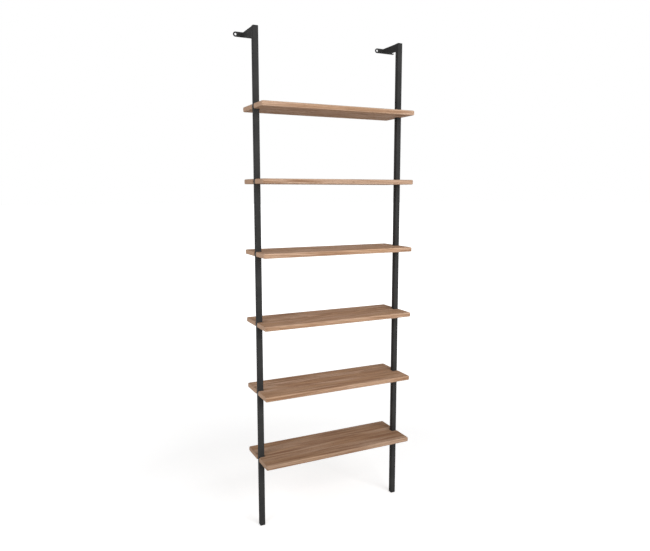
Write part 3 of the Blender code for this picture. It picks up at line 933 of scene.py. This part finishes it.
def weld(name, corner, first, second, bottom, top):
    """A bead in the corner between two faces, as rings from bottom to top.

    A ring is the corner itself and an arc about it: corner + reach * (cos a first + sin a second). The reach
    is a sawtooth of height over a scale's length, pushed forwards by sin 2a in its middle, and thins out at
    both ends.
    """
    angle = np.linspace(0, math.pi / 2, WELD_POINTS)
    height = np.linspace(bottom, top, round((top - bottom) / WELD_SCALE * RINGS_PER_SCALE))
    phase = (height[:, None] / WELD_SCALE - SCALE_BULGE * np.sin(2 * angle)) % 1
    from_end = np.minimum(height - bottom, top - height)
    thin = np.sqrt(np.clip(from_end / WELD_LEG, THINNEST_END, 1))[:, None]
    reach = WELD_LEG * thin * (1 - SCALE_DEPTH + SCALE_DEPTH * phase)
    across = np.cos(angle)[:, None] * np.array(first) + np.sin(angle)[:, None] * np.array(second)
    flat = np.array(corner) + reach[..., None] * across
    flat = np.concatenate([np.broadcast_to(corner, (len(height), 1, 2)), flat], axis=1)
    tall = np.broadcast_to(height[:, None, None], flat.shape[:2] + (1,))
    mesh = skin(name, np.concatenate([flat, tall], axis=2))
    solid = bmesh.new()
    solid.from_mesh(mesh)
    bmesh.ops.recalc_face_normals(solid, faces=solid.faces)
    solid.to_mesh(mesh)
    solid.free()
    return mesh


print("scales along the back of a post:", round((arm_high[2] - arm_low[2]) / WELD_SCALE))

# %% [markdown]
# ## Brackets put together
# The two brackets are alike and not mirrored, so one loop makes them. An arm is welded to the post on its
# right side only, because its left side is flush with the post, and to the strip on both sides. Joining arm
# and beads into one mesh would look the same, but separate pieces can be told apart later.

# %% Make the arms and their welds
PLATE_THICKNESS = 0.003

for side_name in SIDES:
    low, high = box[f"{side_name}_bracket_arm"]
    strip_low = box[f"{side_name}_wall_strip"][0]
    post_back = box[f"{side_name}_post"][1][1]
    middle = (low[0] + high[0]) / 2
    on_edge = [(0, 1, 0), (0, 0, 1), (1, 0, 0)]
    arm = flat_bar("arm", outline, PLATE_THICKNESS, on_edge, (middle, low[1], high[2]))
    show(f"{side_name}_arm", arm, black_coat, "coated_steel", f"{side_name}_bracket_arm")
    right, left = middle + PLATE_THICKNESS / 2, middle - PLATE_THICKNESS / 2
    seams = [("post_weld", (right, post_back), (1, 0), (0, 1), low[2]),
             ("strip_weld_right", (right, strip_low[1]), (1, 0), (0, -1), strip_low[2]),
             ("strip_weld_left", (left, strip_low[1]), (-1, 0), (0, -1), strip_low[2])]
    for seam, corner, first, second, bottom in seams:
        name = f"{side_name}_{seam}"
        bead = weld(name, corner, first, second, bottom + PLATE_EDGE, high[2] - PLATE_EDGE)
        show(name, bead, black_coat, "coated_steel")

# %% [markdown]
# ## Floor
# The floor is plain and pale, and it has to look as white as the background without more light on the
# bookcase. So rays from the camera, and rays that mirror or pass through something, get a little white added
# to the lit floor, just enough to reach white where nothing shades it. The shadow stays, because the lit part
# still darkens. Further out the floor fades to plain white, so that no horizon shows.

# %% Lay the floor
FLOOR_REACH = 60.0
FLOOR_COLOUR = (0.92, 0.92, 0.92, 1.0)
FLOOR_GLOW = 0.52
SHADOW_FADE_START = 0.9
SHADOW_FADE_END = 3.2
WHITE = (1.0, 1.0, 1.0, 1.0)


def seen_directly(tree):
    """1 for rays from the camera, from a mirror or through glass, and 0 for rays that only carry light."""
    rays = add_node(tree, "ShaderNodeLightPath", {}).outputs
    direct = calculate(tree, 'MAXIMUM', rays["Is Camera Ray"], rays["Is Glossy Ray"])
    return calculate(tree, 'MAXIMUM', direct, rays["Is Transmission Ray"])


def floor_finish():
    """Pale matte floor, with white added for rays that see it directly, more of it further out."""
    finish, tree, shader = new_finish("pale_floor")
    shader.inputs["Base Color"].default_value = FLOOR_COLOUR
    shader.inputs["Roughness"].default_value = 0.9
    shader.inputs["Specular IOR Level"].default_value = 0.0
    distance = calculate_vector(tree, 'LENGTH', place_on_piece(tree))
    far = spread(tree, distance, SHADOW_FADE_START, SHADOW_FADE_END, FLOOR_GLOW, 1.0)
    glow = calculate(tree, 'MULTIPLY', far, seen_directly(tree))
    white = add_node(tree, "ShaderNodeEmission", {"Color": WHITE, "Strength": glow})
    both = add_node(tree, "ShaderNodeAddShader", {0: shader.outputs[0], 1: white.outputs[0]})
    tree.links.new(both.outputs[0], tree.nodes["Material Output"].inputs["Surface"])
    return finish


floor_corners = np.array([(-1, -1, 0), (1, -1, 0), (1, 1, 0), (-1, 1, 0)]) * FLOOR_REACH
floor_mesh = bpy.data.meshes.new("floor")
floor_mesh.from_pydata(floor_corners.tolist(), [], [(0, 1, 2, 3)])
floor_mesh.materials.append(floor_finish())
floor = bpy.data.objects.new("floor", floor_mesh)
bpy.context.scene.collection.objects.link(floor)
print("floor reaches", FLOOR_REACH, "m")

# %% [markdown]
# ## Light
# The light is plain and soft: one large softbox in front, a little to the right and high, a weaker one at the
# left, and an even grey from all round. Front faces then render about as their colours are written, tops and
# ends fall off, and the undersides live on what the floor throws back. A sun lamp would be simpler, but its
# shadows are hard. The background is white for the same direct rays as on the floor.

# %% Set up the light
AMBIENT = 0.36


def add_softbox(name, place, target, width, height, watts):
    """A soft rectangular lamp that faces a target."""
    data = bpy.data.lights.new(name, 'AREA')
    data.shape = 'RECTANGLE'
    data.size = width
    data.size_y = height
    data.energy = watts
    lamp = bpy.data.objects.new(name, data)
    lamp.location = place
    lamp.rotation_euler = (Vector(target) - Vector(place)).to_track_quat('-Z', 'Y').to_euler()
    bpy.context.scene.collection.objects.link(lamp)
    print(f"{name}: {watts} W, {width} x {height} m")


add_softbox("front_softbox", place=(0.6, -2.4, 1.75), target=(0, 0, 1.05), width=1.8, height=1.4, watts=39)
add_softbox("left_softbox", place=(-1.9, -1.1, 2.0), target=(0, 0, 1.4), width=1.0, height=1.0, watts=12)

world = bpy.data.worlds.new("studio")
world.use_nodes = True
bpy.context.scene.world = world
tree = world.node_tree
grey = tree.nodes["Background"]
grey.inputs["Color"].default_value = WHITE
grey.inputs["Strength"].default_value = AMBIENT
white = add_node(tree, "ShaderNodeBackground", {"Color": WHITE, "Strength": 1.0})
choice = {0: seen_directly(tree), 1: grey.outputs[0], 2: white.outputs[0]}
backdrop = add_node(tree, "ShaderNodeMixShader", choice)
tree.links.new(backdrop.outputs[0], tree.nodes["World Output"].inputs["Surface"])

bpy.context.scene.view_settings.view_transform = 'Standard'
print("world: grey", AMBIENT, "for light, white where it is seen")
